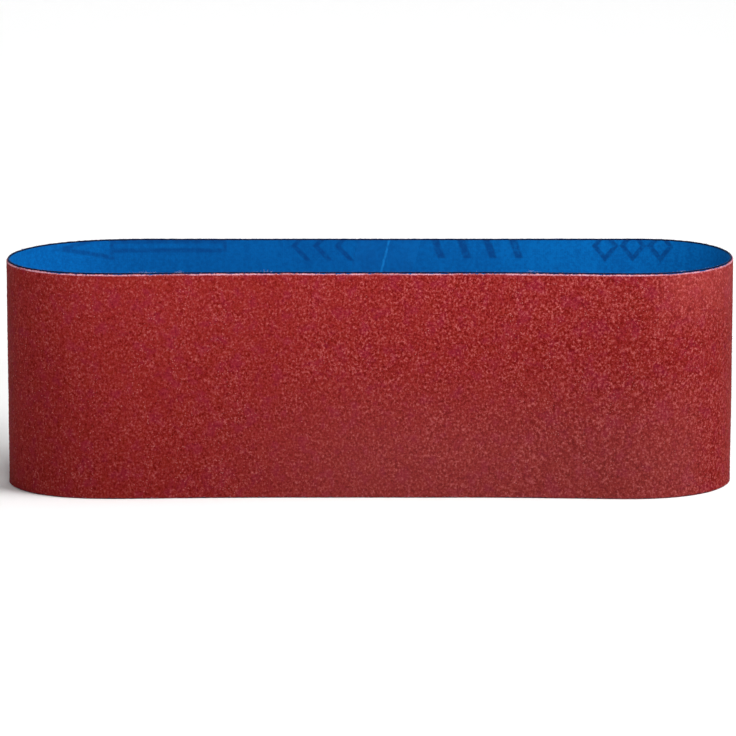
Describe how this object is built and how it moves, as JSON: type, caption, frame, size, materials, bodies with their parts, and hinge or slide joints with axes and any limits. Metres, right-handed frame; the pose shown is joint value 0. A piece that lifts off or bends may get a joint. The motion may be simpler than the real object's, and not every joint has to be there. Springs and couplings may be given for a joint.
{
  "type": "sanding belt",
  "caption": "Endless sanding belt standing on its cut edge as a long oval loop: blue cloth inside, red resin-bonded abrasive outside, closed by one slanted taped butt joint.",
  "frame": {"origin": "centre of the loop's footprint, on the surface that the belt stands on", "axes": "+Z across the belt's width, from the cut edge it stands on to the other; X the long way of the loop; Y the short way, with the taped joint in the +Y run"},
  "size_m": [0.2374, 0.0574, 0.075],
  "materials": {
    "blue_cloth": "dyed, resin-filled woven cloth, matt with a slight sheen",
    "base_resin": "cured red-brown phenolic resin, rough",
    "red_grain": "medium-grit red abrasive grain, sharp and sparkling",
    "top_resin": "thin red resin over the grain, satin",
    "clear_film": "thin satin splice film over blue cloth",
    "clear_glue": "cured clear polyurethane adhesive"
  },
  "bodies": {
    "root": {"cloth_backing": "blue_cloth", "make_coat": "base_resin", "abrasive_grain": "red_grain", "size_coat": "top_resin", "splice_tape": "clear_film", "splice_adhesive": "clear_glue"}
  },
  "joints": []
}
